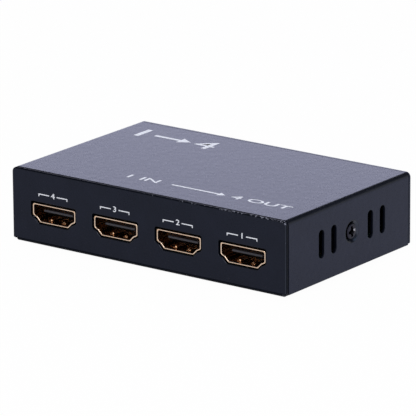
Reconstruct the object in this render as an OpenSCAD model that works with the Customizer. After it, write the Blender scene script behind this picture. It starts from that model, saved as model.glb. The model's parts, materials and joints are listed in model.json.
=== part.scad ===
// Four-way video splitter: a folded sheet-steel case around one circuit board,
// with four sockets on the front, one socket and a power jack on the rear.
// Millimetres. +X to the right of the front panel, +Y to the rear, +Z up.
// The origin is on the table, under the middle of the case.

/* [Case] */
// Overall width of the case
case_w = 92; // [90:0.5:110]
// Overall depth of the case, over both panels
case_d = 58; // [56:0.5:76]
// Height of the closed case, without its feet
case_h = 21; // [20:0.5:28]
// Thickness of the folded sheet steel
sheet = 0.8; // [0.6:0.1:1.2]
// Inside radius of the folds
fold_r = 0.6; // [0.4:0.1:1]
// Gap between the cover and the tray, at the front panel and along the sides
seam = 0.5; // [0.3:0.05:0.7]
// Gap between the cover and the rear panel
rear_seam = 0.15; // [0.1:0.05:0.5]
// Height of the cover's lower edge above the tray's underside
skirt_lift = 0.6; // [0.5:0.1:1.6]
// Height of the panels' lower corners above the tray's underside
ear_lift = 0.8; // [0.6:0.1:1.4]

/* [Vents] */
// Length of one side slot
vent_l = 7.8; // [5:0.1:9]
// Width of one side slot
vent_w = 2.4; // [1.4:0.1:2.8]
// Distance between the two slots of a pair
vent_pitch = 5.7; // [4:0.1:7]
// Distance from the case screw to the middle of a pair
vent_offset = 11.35; // [9:0.05:13]
// Height of the slots' middle above the tray's underside
vent_z = 11; // [9:0.1:12]

/* [Case screws] */
// Place of the case screws behind the middle of the case
screw_y = 1.4; // [-3:0.1:3]
// Height of the case screws above the tray's underside
screw_z = 11; // [10:0.1:12]
// Diameter of the thread
screw_d = 3; // [2.5:0.1:3.2]
// Length of the case screw, with its head
screw_l = 6; // [5:0.1:7]
// Diameter of the head
head_d = 4.2; // [4:0.1:5.2]
// Height of the head's straight rim
head_rim = 0.85; // [0.4:0.05:0.9]
// Mouth of the pressed dimple around the head
dimple_d = 6.2; // [5.8:0.1:6.8]
// Gap between the thread and its hole, on the radius
thread_gap = 0.05; // [0.03:0.01:0.08]
// Gap between the head's cone and the dimple, along the screw
head_gap = 0.1; // [0.05:0.01:0.2]
// Gap between the screw and the dimple's hole, on the radius
hole_gap = 0.25; // [0.15:0.05:0.4]
// Width of the lug that takes the screw
lug_w = 12; // [9:0.5:14]
// Height of the lug above the screw
lug_rise = 4.5; // [3.5:0.1:6]
// Length of the threaded collar behind the lug
collar_l = 1.6; // [1:0.1:2]

/* [Feet] */
// Diameter of a rubber foot
foot_d = 8; // [6:0.5:9]
// Height of a rubber foot
foot_h = 1.2; // [0.8:0.1:3]
// Distance of a foot's middle from the case's sides
foot_inset = 8; // [6.5:0.1:10]

/* [Circuit board] */
// Thickness of the circuit board
board_t = 1.6; // [1.2:0.1:2]
// Gap between the board and the lugs and panels
board_gap = 0.6; // [0.4:0.1:0.9]
// Height of the standoffs above the tray's floor
standoff_h = 4.1; // [3:0.1:5]
// Diameter of a standoff
standoff_d = 5; // [4.4:0.1:5.6]
// Distance of the rear board screws from the board's edges
board_screw_inset = 4; // [3.6:0.1:5]
// Distance of the front board screws from the board's front edge
board_screw_front = 5; // [4:0.1:8]
// Thread of the board screws
board_screw_d = 2.5; // [2:0.1:3]
// Reach of the board screws into the standoffs
board_screw_grip = 2.4; // [1.5:0.1:2.6]
// Diameter of the board screws' heads
board_head_d = 4.6; // [4.2:0.1:5]
// Height of the board screws' heads
board_head_h = 1.6; // [1.2:0.1:2]

/* [Sockets] */
// Distance between neighbouring output sockets
port_pitch = 21.2; // [20.6:0.05:21.6]
// Place of the input socket, from the middle of the case
input_x = -12; // [-16:0.5:-6]
// Inside width of a socket
socket_w = 14; // [13.8:0.05:14.2]
// Inside height of a socket
socket_h = 4.55; // [4.4:0.05:4.8]
// Inside width of a socket's floor
socket_floor_w = 9.4; // [9:0.1:10]
// Depth of a socket's straight sides
socket_side_h = 2.8; // [2.6:0.1:3]
// Width of the shoulder under each straight side
shoulder_w = 1.1; // [0.8:0.1:1.3]
// Drop of the shoulder
shoulder_h = 0.5; // [0.3:0.05:0.7]
// Thickness of the socket's metal shell
shell_t = 0.35; // [0.3:0.05:0.5]
// Length of the shell
shell_l = 11.6; // [10.5:0.1:12.5]
// Gap between a shell and its cut-out in the panel
port_gap = 0.5; // [0.2:0.05:0.6]
// Depth of the shell's rim behind the panel's face
port_recess = 0.3; // [0.1:0.05:0.6]
// Width of the contact tongue
tongue_w = 10; // [9.9:0.05:10.6]
// Thickness of the contact tongue
tongue_t = 1.4; // [1.2:0.05:1.6]
// Depth of the tongue's tip behind the shell's rim
tongue_recess = 1.9; // [1.5:0.1:2.5]
// Length of the moulded block that closes the shell
block_l = 3.6; // [3:0.1:4]
// Number of contacts on the tongue's upper face
upper_contacts = 10; // [8:1:10]
// Distance between neighbouring contacts of a row
contact_pitch = 1; // [0.9:0.01:1.02]
// Width of a contact
contact_w = 0.34; // [0.25:0.01:0.4]
// Thickness of a contact
contact_t = 0.2; // [0.15:0.01:0.25]

/* [Power] */
// Distance of the power jack from the case's right side
jack_inset = 16; // [15:0.5:20]
// Width of the power jack
jack_w = 9; // [8.5:0.1:9.4]
// Length of the power jack
jack_l = 13; // [12:0.1:14]
// Height of the jack's middle above the board
jack_rise = 6; // [5.5:0.1:6.5]
// Diameter of the jack's bore
jack_bore = 6.4; // [6:0.1:6.6]
// Depth of the jack's bore
jack_bore_l = 9.5; // [8.5:0.1:10]
// Diameter of the jack's middle pin
jack_pin_d = 2; // [1.6:0.1:2.5]
// Diameter of the panel hole in front of the jack
jack_hole_d = 7.6; // [7:0.1:8.4]
// Distance of the power light from the jack
led_offset = 13; // [11:0.1:15]
// Diameter of the power light
led_d = 3; // [2.8:0.1:3.2]
// Length of the power light, from its base to its tip
led_l = 5; // [4.5:0.1:5.5]
// Gap between the power light and its panel hole
led_gap = 0.15; // [0.1:0.01:0.3]

/* [Electronics] */
// Width of the splitter chip
chip_w = 14; // [12:0.5:16]
// Thickness of the splitter chip
chip_h = 1.4; // [1.2:0.1:1.6]
// Number of leads on one side of the splitter chip
chip_leads = 16; // [12:1:16]
// Distance between the splitter chip's leads
lead_pitch = 0.8; // [0.6:0.05:0.8]
// Thickness of the thermal pad
pad_h = 0.5; // [0.3:0.1:1]
// Width of the heat sink
sink_w = 18; // [16:0.5:20]
// Height of the heat sink
sink_h = 7; // [4:0.1:8]
// Number of fins on the heat sink
fin_n = 6; // [4:1:8]
// Thickness of one fin
fin_t = 1; // [0.8:0.1:1.2]
// Thickness of the heat sink's base plate
sink_base = 1.6; // [1.2:0.1:2]
// Diameter of the smoothing capacitors
cap_d = 6.3; // [5:0.1:6.6]
// Height of the smoothing capacitors, with their base
cap_h = 5.8; // [5:0.1:8]

/* [Hidden] */
$fn = 48;

// Finishes
paint = "#23252c";
gold = "#d8b07a";
black_resin = "#17171a";
tin = "#b9bcc2";
board_green = "#1f5a3a";

// Case
base_z = foot_h;
floor_z = base_z + sheet;
top_z = base_z + case_h;
fold_out = fold_r + sheet;
wall_x = case_w / 2 - sheet;
panel_in = case_d / 2 - sheet;
cover_l = 2 * panel_in - seam - rear_seam;
tray_w = 2 * (wall_x - seam);
panel_corner = 0.5;
ear_slit = 0.2;
// Overlap where two shapes of one piece join
lap = 0.2;
// How far a cutting shape runs past the surface that it cuts
over = 1;

// Case screws, dimples and lugs. The dimple is a cone of 45 degrees.
dimple_hole_r = screw_d / 2 + hole_gap;
dimple_depth = dimple_d / 2 - dimple_hole_r;
head_seat = dimple_d / 2 - head_d / 2 - head_gap;
head_sink = head_seat - head_rim;
lug_gap = 0.1;
lug_face = wall_x - dimple_depth - lug_gap;
lug_in = lug_face - sheet;
lug_relief = 0.6;
lug_top = screw_z + lug_rise;
collar_r = screw_d / 2 + sheet;
head_edge = 0.2;
driver_slot_w = 0.8;
driver_slot_l = 3.1;
driver_depth = 1.1;
driver_turn = 5;
tip_chamfer = 0.4;
foot_edge = 0.4;

// Circuit board
board_bottom = floor_z + standoff_h;
board_top = board_bottom + board_t;
board_w = 2 * (lug_in - board_gap);
board_d = 2 * (panel_in - board_gap);
board_corner = 1.5;
board_hole_gap = 0.25;
board_hole_r = board_screw_d / 2 + board_hole_gap;
press_gap = 0.02;
tip_room = 0.5;
board_driver_l = 2.4;
board_driver_w = 0.6;
board_driver_depth = 0.9;
board_head_edge = 0.64;
standoff_step = 0.6;
shank_r = standoff_d / 2 - standoff_step;
board_screws_at = [for (s = [-1, 1]) each [
    [s * port_pitch, -board_d / 2 + board_screw_front],
    [s * (board_w / 2 - board_screw_inset), board_d / 2 - board_screw_inset]]];

// Sockets. Each is drawn with its rim at y = 0, its middle at z = 0 and its inside along +Y.
seat_gap = 0.05;
port_z = board_top + seat_gap + shell_t + socket_h / 2;
port_y = case_d / 2 - port_recess;
cut_out_rise = 0.12;
outputs = [1, 2, 3, 4];
socket_corner = 0.6;
least_corner = 0.1;
punch_corner = 0.35;
board_in_socket = board_top - port_z;
leg_front = 3.2;
leg_rear = 8.8;
leg_l = 1.3;
leg_tail = 0.6;
leg_gap = 0.2;
fit_gap = 0.05;
tongue_z = -0.1;
tongue_top = tongue_z + tongue_t / 2;
tongue_bottom = tongue_z - tongue_t / 2;
tongue_lead_h = 0.5;
tongue_lead_l = 0.2;
tongue_under = 0.85;
contact_setback = 0.9;
contact_start = tongue_recess + contact_setback;
contact_exit = 0.5;
contact_foot = 1.2;
spring_x = 2.3;
spring_w = 1.5;
spring_slit = 0.3;
spring_root = 6.4;
spring_tip = 1.2;
spring_bump = 2;
spring_lift = 0.4;
spring_dome_r = 0.5;
spring_dome_h = 0.3;

// Power jack and light, drawn facing the rear panel's inside
jack_x = case_w / 2 - jack_inset;
jack_z = board_top + jack_rise;
jack_face_gap = 0.2;
jack_y = panel_in - jack_face_gap;
jack_pin_recess = 1;
jack_pin_shoulder = 0.4;
jack_pin_point = 0.4;
jack_pin_point_l = 0.6;
blade_w = 2.4;
blade_t = 0.4;
leaf_w = 2.6;
leaf_t = 0.3;
leaf_front = 3;
leaf_rear = 8.2;
leaf_lift = 0.35;
led_x = jack_x - led_offset;
led_z = port_z;
led_flange = 0.4;
led_flange_l = 1;
led_lead_gap = 2.54;
led_lead = 0.5;
led_lead_t = 0.4;
led_lead_run = 1.6;
led_base_y = case_d / 2 - led_l;

// Electronics. They lie between the small parts behind the outputs and the ends of the rear sockets.
solder_gap = 0.1;
mould_bevel = 0.3;
part_gap = 0.6;
small_part_l = 1.6;
small_part_w = 0.8;
small_part_h = 0.5;
small_part_pitch = 2.2;
small_parts_per_port = 5;
resistor_row = 2.2;
capacitor_row = 4;
socket_reach = shell_l + contact_exit + contact_foot;
outputs_end = -port_y + socket_reach;
parts_front = outputs_end + capacitor_row + small_part_l / 2 + part_gap;
parts_rear = port_y - socket_reach - part_gap;
power_rear = min(parts_rear, jack_y - jack_l - blade_t - part_gap);
chip_size = [chip_w, chip_w, chip_h];
chip_y = (parts_front + parts_rear) / 2;
lead_w = 0.35;
lead_t = 0.15;
lead_l = 1;
small_lead_w = 0.4;
small_lead_gap = 1.27;
pad_margin = 0.75;
sink_z = board_top + solder_gap + chip_h + pad_h;
control_size = [12.8, 7.5, 2.3];
control_leads = 10;
control_at = [-26, parts_front + lead_l + control_size.y / 2];
memory_size = [4.9, 3.9, 1.5];
memory_leads = 4;
memory_at = [-32, parts_rear - 2 * lead_l - memory_size.y / 2];
regulator_size = [6.5, 3.5, 1.6];
regulator_lead_w = 0.7;
regulator_tab_w = 3;
regulator_tab_l = 1.4;
regulator_lead_t = 0.25;
regulator_lead_gap = 2.3;
regulator_y = power_rear - regulator_tab_l - regulator_size.y / 2;
regulators_at = [[18, regulator_y], [28, regulator_y]];
crystal_size = [11.4, 4.7, 3.6];
crystal_at = [-20, parts_rear - crystal_size.y / 2 - lead_l];
cap_base_margin = 0.15;
cap_base_h = 1;
cap_groove = 0.4;
cap_base_w = cap_d + 2 * cap_base_margin;
cap_front_y = parts_front + cap_base_w / 2;
caps_at = [[18, cap_front_y], [26, cap_front_y], [35.5, power_rear - cap_base_w / 2]];
inductor_w = 6;
inductor_h = 3;
inductor_corner = 1;
inductor_at = [34, parts_front + inductor_w / 2];

// Points and outlines

function unit(v) = v / norm(v);

// Corner i of a closed outline, moved out by a distance
function moved_corner(pts, i, out) =
    let (n = len(pts),
         a = unit(pts[i] - pts[(i + n - 1) % n]),
         b = unit(pts[(i + 1) % n] - pts[i]),
         na = [a.y, -a.x],
         nb = [b.y, -b.x])
    pts[i] + out * (na + nb) / (1 + na * nb);

// Positive where the outline turns left, as at an outer corner
function turn(pts, i) =
    let (n = len(pts),
         a = pts[i] - pts[(i + n - 1) % n],
         b = pts[(i + 1) % n] - pts[i])
    a.x * b.y - a.y * b.x;

// Arc that rounds corner i of a closed outline
function corner_arc(pts, i, r, steps = 4) =
    let (n = len(pts),
         u = unit(pts[(i + n - 1) % n] - pts[i]),
         v = unit(pts[(i + 1) % n] - pts[i]),
         half = acos(u * v) / 2,
         centre = pts[i] + unit(u + v) * r / sin(half),
         from = pts[i] + u * r / tan(half) - centre,
         sweep = (180 - 2 * half) * sign(turn(pts, i)))
    [for (k = [0 : steps])
        let (a = sweep * k / steps)
        centre + [from.x * cos(a) - from.y * sin(a), from.x * sin(a) + from.y * cos(a)]];

socket_corners = let (
    top = socket_h / 2,
    side = socket_w / 2,
    low = top - socket_side_h)
    [[side, top], [-side, top], [-side, low], [-side + shoulder_w, low - shoulder_h],
     [-socket_floor_w / 2, -top], [socket_floor_w / 2, -top],
     [side - shoulder_w, low - shoulder_h], [side, low]];

// Inside outline of a socket, moved out by a distance, with no corner sharper than a least radius
function socket_outline(out, least = least_corner) =
    let (moved = [for (i = [0 : len(socket_corners) - 1]) moved_corner(socket_corners, i, out)])
    [for (i = [0 : len(moved) - 1])
        let (r = socket_corner + (turn(moved, i) > 0 ? out : -out))
        each corner_arc(moved, i, max(least, min(r, socket_corner)))];

// Shared shapes

// A profile in X and Z, extruded along +Y
module along_y(length) {
    translate([0, length, 0]) rotate([90, 0, 0]) linear_extrude(length) children();
}

// A profile in Y and Z, extruded along X on both sides of the middle
module along_x(length) {
    translate([-length / 2, 0, 0]) rotate([90, 0, 90]) linear_extrude(length) children();
}

// A rectangle standing on y = 0 whose two lower corners are round
module round_foot(w, h, r) {
    translate([-w / 2, r]) square([w, h - r]);
    translate([-w / 2 + r, 0]) square([w - 2 * r, r]);
    for (s = [-1, 1]) translate([s * (w / 2 - r), r]) circle(r);
}

// Section of a sheet folded up at both ends
module folded_sheet(w, h) {
    difference() {
        round_foot(w, h, fold_out);
        translate([0, sheet]) round_foot(w - 2 * sheet, h, fold_r);
    }
}

// A rectangle from (-w/2, low) to (w/2, high), with its own radius on the upper and lower corners
module round_plate(w, low, high, r_low, r_high) {
    translate([-w / 2, low + r_low]) square([w, high - low - r_low - r_high]);
    translate([-w / 2 + r_low, low]) square([w - 2 * r_low, r_low]);
    translate([-w / 2 + r_high, high - r_high]) square([w - 2 * r_high, r_high]);
    for (s = [-1, 1]) {
        translate([s * (w / 2 - r_low), low + r_low]) circle(r_low);
        translate([s * (w / 2 - r_high), high - r_high]) circle(r_high);
    }
}

// A standing slot with round ends
module slot(l, w) {
    translate([-w / 2, -(l - w) / 2]) square([w, l - w]);
    for (s = [-1, 1]) translate([0, s * (l - w) / 2]) circle(w / 2);
}

// A block that stands on z = 0, centred in X and Y
module block(size) {
    translate([-size.x / 2, -size.y / 2, 0]) cube(size);
}

function port_x(n) = ((len(outputs) + 1) / 2 - n) * port_pitch;

module at_output(n) {
    translate([port_x(n), -port_y, port_z]) children();
}

module at_input() {
    translate([input_x, port_y, port_z]) rotate([0, 0, 180]) children();
}

module at_jack() {
    translate([jack_x, jack_y, jack_z]) rotate([0, 0, 180]) children();
}

// Case screws lie along X, one on each side. Side is 1 on the right and -1 on the left.
module at_case_screw(side) {
    translate([side * case_w / 2, screw_y, base_z + screw_z]) rotate([0, side * 90, 0]) children();
}

// Case

module dimple_ring() {
    r_out = dimple_d / 2;
    rotate_extrude() polygon([
        [r_out, 0], [r_out, -sheet],
        [dimple_hole_r, -sheet - dimple_depth], [dimple_hole_r, -dimple_depth]]);
}

module top_cover() color(paint) {
    difference() {
        translate([0, -panel_in + seam, top_z]) mirror([0, 0, 1])
            along_y(cover_l) folded_sheet(case_w, case_h - skirt_lift);
        for (pair = [-1, 1], one = [-1, 1])
            translate([0, screw_y + pair * vent_offset + one * vent_pitch / 2, base_z + vent_z])
                along_x(case_w + 2 * over) slot(vent_l, vent_w);
        for (side = [-1, 1])
            at_case_screw(side) translate([0, 0, -sheet - over])
                cylinder(r = dimple_d / 2, h = sheet + 2 * over);
    }
    for (side = [-1, 1]) at_case_screw(side) dimple_ring();
}

// A panel above its fold. Beside the fold it has an ear at each end, parted from it by a slit.
module panel_plate() {
    along_y(sheet) difference() {
        round_plate(case_w, base_z + ear_lift, top_z, panel_corner, fold_out);
        translate([-tray_w / 2 - ear_slit, base_z]) square([tray_w + 2 * ear_slit, fold_out]);
    }
}

module port_cut_out() {
    translate([0, -port_recess - over, cut_out_rise])
        along_y(sheet + 2 * over) polygon(socket_outline(shell_t + port_gap, punch_corner));
}

module lug_collar() {
    translate([0, 0, -case_w / 2 + lug_in - collar_l]) cylinder(r = collar_r, h = collar_l + sheet / 2);
}

module base_tray() color(paint) {
    difference() {
        union() {
            difference() {
                translate([0, 0, base_z]) along_x(tray_w) folded_sheet(case_d, fold_out + lap);
                for (side = [-1, 1])
                    translate([side * case_w / 2, screw_y, base_z + sheet / 2])
                        cube([2 * (case_w / 2 - lug_face + fold_out), lug_w + 2 * lug_relief, 2 * sheet],
                             center = true);
            }
            translate([0, screw_y - lug_w / 2, base_z])
                along_y(lug_w) folded_sheet(2 * lug_face, lug_top);
            translate([0, -case_d / 2, 0]) panel_plate();
            translate([0, panel_in, 0]) panel_plate();
            for (side = [-1, 1]) at_case_screw(side) lug_collar();
        }
        for (n = outputs) at_output(n) port_cut_out();
        at_input() port_cut_out();
        translate([jack_x, panel_in - over, jack_z]) rotate([-90, 0, 0])
            cylinder(d = jack_hole_d, h = sheet + 2 * over);
        translate([led_x, panel_in - over, led_z]) rotate([-90, 0, 0])
            cylinder(r = led_d / 2 + led_gap, h = sheet + 2 * over);
        for (p = board_screws_at) translate([p.x, p.y, base_z - over])
            cylinder(r = shank_r + press_gap, h = sheet + 2 * over);
        for (side = [-1, 1]) at_case_screw(side)
            translate([0, 0, -case_w / 2 + lug_in - collar_l - over])
                cylinder(r = screw_d / 2 + thread_gap, h = collar_l + sheet + 2 * over);
    }
}

// Countersunk screw with a cross recess; its head's top is at head_sink below the case's side
module case_screw() {
    r = screw_d / 2;
    cone_h = head_d / 2 - r;
    difference() {
        translate([0, 0, -head_sink]) rotate_extrude() polygon([
            [0, 0], [head_d / 2 - head_edge, 0], [head_d / 2, -head_edge],
            [head_d / 2, -head_rim], [r, -head_rim - cone_h],
            [r, -screw_l + tip_chamfer], [r - tip_chamfer, -screw_l], [0, -screw_l]]);
        for (a = [0, 90]) rotate([0, 0, a + driver_turn])
            translate([0, 0, -head_sink - driver_depth])
                block([driver_slot_l, driver_slot_w, driver_depth + over]);
    }
}

module case_screw_right() color("#2b2c30") at_case_screw(1) case_screw();
module case_screw_left() color("#2b2c30") at_case_screw(-1) case_screw();

module rubber_feet() color("#1b1b1c") {
    for (x = [-1, 1], y = [-1, 1])
        translate([x * (case_w / 2 - foot_inset), y * (case_d / 2 - foot_inset), 0])
            rotate_extrude() polygon([
                [0, 0], [foot_d / 2 - foot_edge, 0], [foot_d / 2, foot_edge],
                [foot_d / 2, foot_h], [0, foot_h]]);
}

// Circuit board and what holds it

module board_standoffs() color("#c9a24e") {
    bore_r = board_screw_d / 2 + thread_gap;
    for (p = board_screws_at) translate([p.x, p.y, 0]) difference() {
        union() {
            translate([0, 0, floor_z]) cylinder(d = standoff_d, h = standoff_h);
            translate([0, 0, base_z]) cylinder(r = shank_r, h = sheet + lap);
        }
        translate([0, 0, board_bottom - board_screw_grip - tip_room])
            cylinder(r = bore_r, h = board_screw_grip + tip_room + over);
    }
}

module board_screws() color(tin) {
    for (p = board_screws_at) translate([p.x, p.y, board_top]) difference() {
        rotate_extrude() polygon([
            [0, -board_t - board_screw_grip], [board_screw_d / 2, -board_t - board_screw_grip],
            [board_screw_d / 2, 0], [board_head_d / 2, 0],
            [board_head_d / 2, board_head_h - board_head_edge],
            [board_head_d / 2 - board_head_edge, board_head_h], [0, board_head_h]]);
        for (a = [0, 90]) rotate([0, 0, a])
            translate([0, 0, board_head_h - board_driver_depth])
                block([board_driver_l, board_driver_w, board_driver_depth + over]);
    }
}

module socket_leg_holes() {
    for (s = [-1, 1], y = [leg_front, leg_rear])
        translate([s * (socket_w + shell_t) / 2, y + leg_l / 2, board_in_socket - board_t - over])
            block([shell_t + 2 * leg_gap, leg_l + 2 * leg_gap, board_t + 2 * over]);
}

module jack_terminal_holes() {
    drop = jack_rise + board_t + over;
    translate([0, jack_l + blade_t / 2, -drop])
        block([blade_w + 2 * leg_gap, blade_t + 2 * leg_gap, board_t + 2 * over]);
    translate([0, leaf_rear - leaf_t / 2, -drop])
        block([leaf_w + 2 * leg_gap, leaf_t + 2 * leg_gap, board_t + 2 * over]);
}

module circuit_board() color(board_green) {
    difference() {
        translate([0, 0, board_bottom]) linear_extrude(board_t)
            translate([0, -board_d / 2]) round_plate(board_w, 0, board_d, board_corner, board_corner);
        for (p = board_screws_at) translate([p.x, p.y, board_bottom - over])
            cylinder(r = board_hole_r, h = board_t + 2 * over);
        for (n = outputs) at_output(n) socket_leg_holes();
        at_input() socket_leg_holes();
        at_jack() jack_terminal_holes();
        for (s = [-1, 1])
            translate([led_x + s * led_lead_gap / 2, led_base_y - led_lead_run, board_bottom - over])
                cylinder(r = led_lead / 2 + leg_gap, h = board_t + 2 * over);
    }
}

// Sockets

// A sprung finger, seen along X, on the lower wall of a shell
module spring_profile() {
    wall = -socket_h / 2;
    polygon([
        [spring_root + spring_slit, wall - shell_t], [spring_root + spring_slit, wall],
        [spring_bump, wall + spring_lift], [spring_tip, wall],
        [spring_tip, wall - shell_t], [spring_bump, wall + spring_lift - shell_t]]);
}

// Round contact point on top of a finger
module spring_dome() {
    wall = -socket_h / 2;
    intersection() {
        translate([0, spring_bump, wall + spring_lift + spring_dome_h - spring_dome_r])
            sphere(spring_dome_r);
        translate([0, spring_bump, wall + spring_lift - shell_t / 2]) block([spring_w, spring_w, spring_w]);
    }
}

module spring_window() {
    translate([0, (spring_root + spring_tip) / 2, -socket_h / 2 - shell_t - over])
        block([spring_w + 2 * spring_slit, spring_root - spring_tip + 2 * spring_slit, shell_t + 2 * over]);
}

module at_springs() {
    for (s = [-1, 1], turned = [0, 180])
        rotate([0, turned, 0]) translate([s * spring_x, 0, 0]) children();
}

module socket_shell() color(gold) {
    difference() {
        along_y(shell_l) polygon(socket_outline(shell_t));
        translate([0, -over, 0]) along_y(shell_l + 2 * over) polygon(socket_outline(0));
        at_springs() spring_window();
    }
    at_springs() {
        along_x(spring_w) spring_profile();
        spring_dome();
    }
    leg_bottom = board_in_socket - board_t - leg_tail;
    for (s = [-1, 1], y = [leg_front, leg_rear])
        translate([s * (socket_w + shell_t) / 2, y + leg_l / 2, leg_bottom])
            block([shell_t, leg_l, socket_h / 2 - leg_bottom - socket_side_h / 2]);
}

// A contact seen along X: a strip on the tongue, a drop behind the block and a foot on the board.
// Strip_z is the strip's underside.
module contact_profile(strip_z) {
    back = shell_l + contact_exit;
    polygon([
        [contact_start, strip_z + contact_t], [back + contact_t, strip_z + contact_t],
        [back + contact_t, board_in_socket + contact_t], [back + contact_foot, board_in_socket + contact_t],
        [back + contact_foot, board_in_socket], [back, board_in_socket],
        [back, strip_z], [contact_start, strip_z]]);
}

module contact_row(count, strip_z) {
    for (i = [0 : count - 1])
        translate([(i - (count - 1) / 2) * contact_pitch, 0, 0])
            along_x(contact_w) contact_profile(strip_z);
}

module socket_contacts() color(gold) {
    contact_row(upper_contacts, tongue_top - contact_t);
    contact_row(upper_contacts - 1, tongue_bottom);
}

module socket_insulator() color(black_resin) {
    tip = tongue_recess;
    root = shell_l - block_l;
    difference() {
        union() {
            translate([0, root, 0]) along_y(block_l) polygon(socket_outline(-fit_gap));
            along_x(tongue_w) polygon([
                [root + lap, tongue_top], [tip + tongue_lead_l, tongue_top],
                [tip, tongue_top - tongue_lead_h],
                [tip, tongue_bottom + tongue_under], [tip + tongue_under, tongue_bottom],
                [root + lap, tongue_bottom]]);
        }
        socket_contacts();
    }
}

// Power jack

module jack_housing() color(black_resin) {
    difference() {
        along_y(jack_l) {
            circle(d = jack_w);
            translate([-jack_w / 2, -jack_rise + seat_gap]) square([jack_w, jack_rise - seat_gap]);
        }
        translate([0, -over, 0]) rotate([-90, 0, 0]) cylinder(d = jack_bore, h = jack_bore_l + over);
        rotate([-90, 0, 0]) cylinder(r = jack_pin_d / 2 + jack_pin_shoulder + press_gap, h = jack_l + over);
        translate([0, (leaf_front + leaf_rear) / 2, -jack_rise - over])
            block([leaf_w + 2 * leg_gap, leaf_rear - leaf_front + 2 * leg_gap,
                   jack_rise + over - jack_bore / 4]);
    }
}

module jack_middle_pin() color(tin) {
    r = jack_pin_d / 2;
    rotate([-90, 0, 0]) rotate_extrude() polygon([
        [0, jack_pin_recess], [r - jack_pin_point, jack_pin_recess],
        [r, jack_pin_recess + jack_pin_point_l],
        [r, jack_bore_l], [r + jack_pin_shoulder, jack_bore_l],
        [r + jack_pin_shoulder, jack_l + blade_t], [0, jack_l + blade_t]]);
    translate([0, jack_l + seat_gap + (blade_t - seat_gap) / 2, -jack_rise - board_t - leg_tail])
        block([blade_w, blade_t - seat_gap, jack_rise + board_t + leg_tail + blade_w / 2]);
}

// A leaf that rises into the bore's floor, with its terminal through the board
module jack_spring_contact() color(tin) {
    wall = -jack_bore / 2;
    bottom = -jack_rise - board_t - leg_tail;
    middle = (leaf_front + leaf_rear) / 2;
    along_x(leaf_w) polygon([
        [leaf_rear, bottom], [leaf_rear, wall], [middle, wall + leaf_lift], [leaf_front, wall],
        [leaf_front, wall - leaf_t], [middle, wall + leaf_lift - leaf_t],
        [leaf_rear - leaf_t, wall - leaf_t], [leaf_rear - leaf_t, bottom]]);
}

// Power light, lying with its tip in the rear panel

module power_light() color("#c23a34") {
    r = led_d / 2;
    translate([led_x, led_base_y, led_z]) rotate([-90, 0, 0]) {
        cylinder(r = r + led_flange, h = led_flange_l);
        cylinder(r = r, h = led_l - r);
        intersection() {
            translate([0, 0, led_l - r]) sphere(r);
            translate([0, 0, led_l - r - lap]) cylinder(r = led_d, h = led_d);
        }
    }
}

module power_light_leads() color(tin) {
    run = led_lead_run;
    low = board_bottom - leg_tail - led_z;
    half = led_lead / 2;
    for (s = [-1, 1])
        translate([led_x + s * led_lead_gap / 2, led_base_y, led_z])
            along_x(led_lead_t) polygon([
                [0, half], [-run - half, half], [-run - half, low], [-run + half, low],
                [-run + half, -half], [0, -half]]);
}

// Electronics

// A gull-wing lead leaving a body's side at mid height, along +Y, with its foot on z = 0
module gull_lead(body_mid, reach, w, t) {
    along_x(w) polygon([
        [0, body_mid + t / 2], [reach / 2, body_mid + t / 2], [reach / 2, t], [reach, t],
        [reach, 0], [reach / 2 - t, 0], [reach / 2 - t, body_mid - t / 2], [0, body_mid - t / 2]]);
}

// Leads along both long sides of a body, in X
module two_lead_rows(size, count, pitch, w) {
    for (turned = [0, 180], i = [0 : count - 1])
        rotate([0, 0, turned])
            translate([(i - (count - 1) / 2) * pitch, size.y / 2, 0])
                gull_lead(solder_gap + size.z / 2, lead_l, w, lead_t);
}

module moulded_body(size) {
    difference() {
        translate([0, 0, solder_gap]) block(size);
        for (s = [-1, 1])
            translate([0, s * size.y / 2, solder_gap + size.z]) rotate([45, 0, 0])
                cube([size.x + 2 * over, mould_bevel, mould_bevel], center = true);
    }
}

module at_splitter_chip() {
    translate([0, chip_y, board_top]) children();
}

module splitter_chip() color(black_resin) at_splitter_chip() moulded_body(chip_size);

module splitter_chip_leads() color(tin) at_splitter_chip() {
    for (a = [0, 90]) rotate([0, 0, a]) two_lead_rows(chip_size, chip_leads, lead_pitch, lead_w);
}

module thermal_pad() color("#8f97a3") {
    translate([0, chip_y, board_top + solder_gap + chip_h])
        block([chip_w - 2 * pad_margin, chip_w - 2 * pad_margin, pad_h]);
}

module heat_sink() color("#8d9299") {
    fin_step = (sink_w - fin_t) / (fin_n - 1);
    translate([0, chip_y, sink_z]) {
        block([sink_w, sink_w, sink_base]);
        for (i = [0 : fin_n - 1])
            translate([-sink_w / 2 + fin_t / 2 + i * fin_step, 0, 0]) block([fin_t, sink_w, sink_h]);
    }
}

module at_board(p) {
    translate([p.x, p.y, board_top]) children();
}

module control_chip() color(black_resin) at_board(control_at) moulded_body(control_size);
module control_chip_leads() color(tin) at_board(control_at)
    two_lead_rows(control_size, control_leads, small_lead_gap, small_lead_w);
module memory_chip() color(black_resin) at_board(memory_at) moulded_body(memory_size);
module memory_chip_leads() color(tin) at_board(memory_at)
    two_lead_rows(memory_size, memory_leads, small_lead_gap, small_lead_w);

module voltage_regulators() color(black_resin) {
    for (p = regulators_at) at_board(p) moulded_body(regulator_size);
}

module voltage_regulator_leads() color(tin) {
    mid = solder_gap + regulator_size.z / 2;
    for (p = regulators_at) at_board(p) {
        for (i = [-1 : 1]) rotate([0, 0, 180])
            translate([i * regulator_lead_gap, regulator_size.y / 2, 0])
                gull_lead(mid, lead_l, regulator_lead_w, regulator_lead_t);
        translate([0, regulator_size.y / 2, 0])
            gull_lead(mid, regulator_tab_l, regulator_tab_w, regulator_lead_t);
    }
}

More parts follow.
